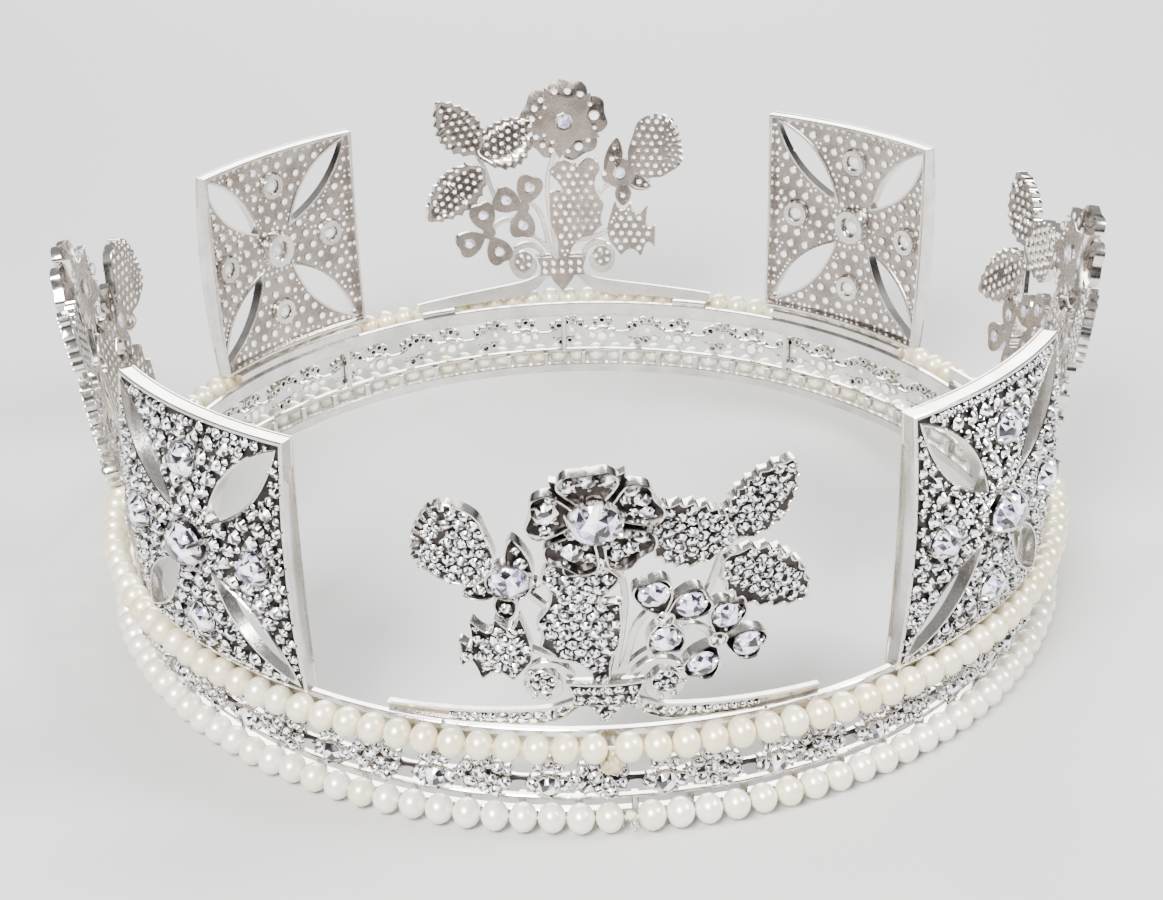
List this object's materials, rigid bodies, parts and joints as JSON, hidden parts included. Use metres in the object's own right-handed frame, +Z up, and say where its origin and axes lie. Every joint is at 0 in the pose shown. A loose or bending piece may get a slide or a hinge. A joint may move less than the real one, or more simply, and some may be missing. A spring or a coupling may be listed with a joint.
{
  "type": "tiara",
  "caption": "Circlet tiara of bright metal set with clear stones: square crosses and flower sprays stand on a pierced band between strings of pearls.",
  "frame": {"origin": "middle of the circlet, on the surface that it stands on", "axes": "+Z up, -Y to the front spray, +X to the right of someone who faces the front"},
  "size_m": [0.205, 0.205, 0.0728],
  "materials": {
    "plated_metal": "bright cast and plated white metal, polished rims, greyer inside",
    "cut_crystal": "foil-backed faceted clear stones with lavender and blue flashes",
    "ivory_pearl": "satin ivory imitation pearl"
  },
  "bodies": {
    "root": {"circlet_frame": "plated_metal", "stone_band": "plated_metal", "upper_pearl_string": "ivory_pearl", "lower_pearl_string": "ivory_pearl", "cross_front_left": "plated_metal", "cross_front_left_centre_stone": "cut_crystal", "cross_front_left_top_stone": "cut_crystal", "cross_front_left_bottom_stone": "cut_crystal", "cross_front_left_left_stone": "cut_crystal", "cross_front_left_right_stone": "cut_crystal", "cross_front_right": "plated_metal", "cross_front_right_centre_stone": "cut_crystal", "cross_front_right_top_stone": "cut_crystal", "cross_front_right_bottom_stone": "cut_crystal", "cross_front_right_left_stone": "cut_crystal", "cross_front_right_right_stone": "cut_crystal", "cross_back_right": "plated_metal", "cross_back_right_centre_stone": "cut_crystal", "cross_back_right_top_stone": "cut_crystal", "cross_back_right_bottom_stone": "cut_crystal", "cross_back_right_left_stone": "cut_crystal", "cross_back_right_right_stone": "cut_crystal", "cross_back_left": "plated_metal", "cross_back_left_centre_stone": "cut_crystal", "cross_back_left_top_stone": "cut_crystal", "cross_back_left_bottom_stone": "cut_crystal", "cross_back_left_left_stone": "cut_crystal", "cross_back_left_right_stone": "cut_crystal", "spray_front": "plated_metal", "spray_front_rose_stone": "cut_crystal", "spray_right": "plated_metal", "spray_right_rose_stone": "cut_crystal", "spray_back": "plated_metal", "spray_back_rose_stone": "cut_crystal", "spray_left": "plated_metal", "spray_left_rose_stone": "cut_crystal"}
  },
  "joints": []
}
